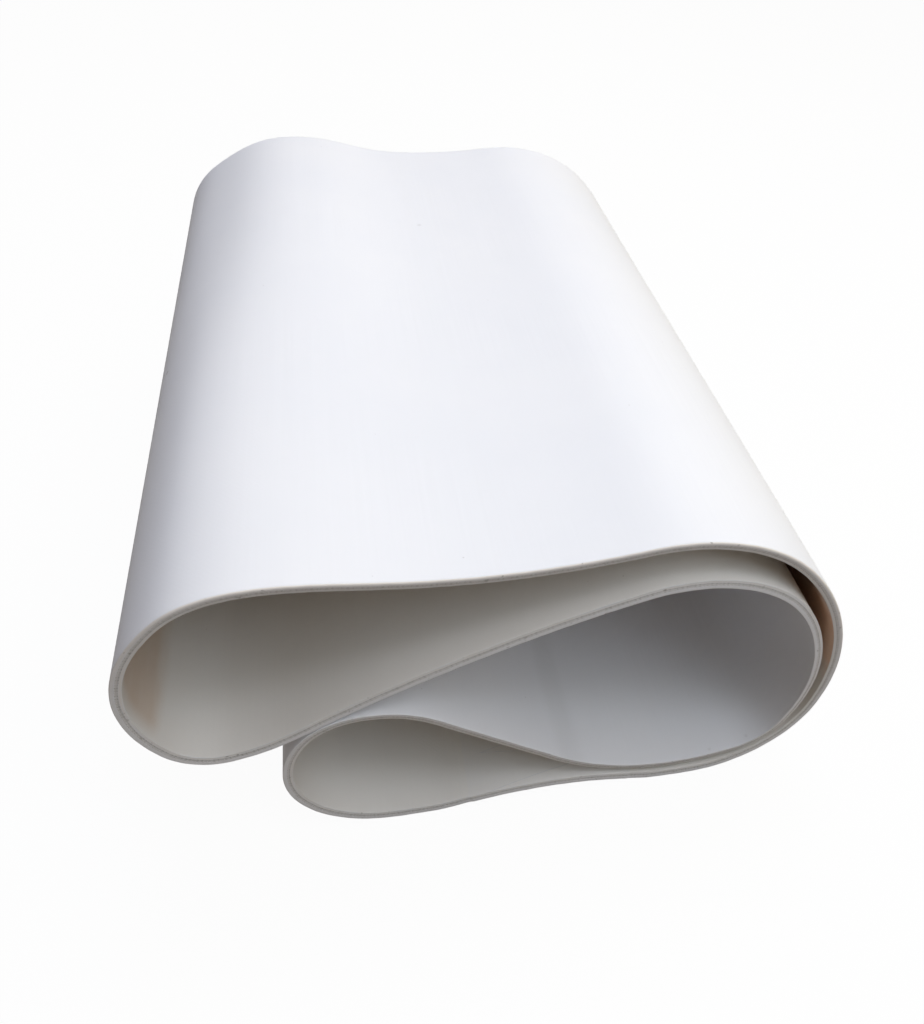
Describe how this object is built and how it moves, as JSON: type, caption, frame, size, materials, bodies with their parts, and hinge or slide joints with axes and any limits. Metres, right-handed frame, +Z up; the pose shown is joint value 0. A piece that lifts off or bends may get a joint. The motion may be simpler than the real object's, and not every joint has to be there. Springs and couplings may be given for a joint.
{
  "type": "pvc conveyor belt",
  "caption": "Endless white PVC conveyor belt, folded over itself into nested loops and resting on its bottom sheet; fabric plies between PVC covers, closed by a finger splice.",
  "frame": {"origin": "on the floor, under the middle of the folded stack", "axes": "+X along the folded stack towards the nested right-hand bends, +Y across the belt's width, +Z up"},
  "size_m": [0.361, 0.45, 0.2064],
  "materials": {
    "carry_pvc": "satin white PVC",
    "carry_fabric": "woven polyester, cut edge",
    "skim_pvc": "grey-white PVC bonding layer",
    "pulley_fabric": "woven polyester, cut edge",
    "pulley_pvc": "matt warm white PVC with a fabric imprint",
    "weld_pvc": "fused PVC"
  },
  "bodies": {
    "root": {"carry_cover": "carry_pvc", "carry_ply": "carry_fabric", "interply_skim": "skim_pvc", "pulley_ply": "pulley_fabric", "pulley_cover": "pulley_pvc", "splice_weld": "weld_pvc"}
  },
  "joints": []
}
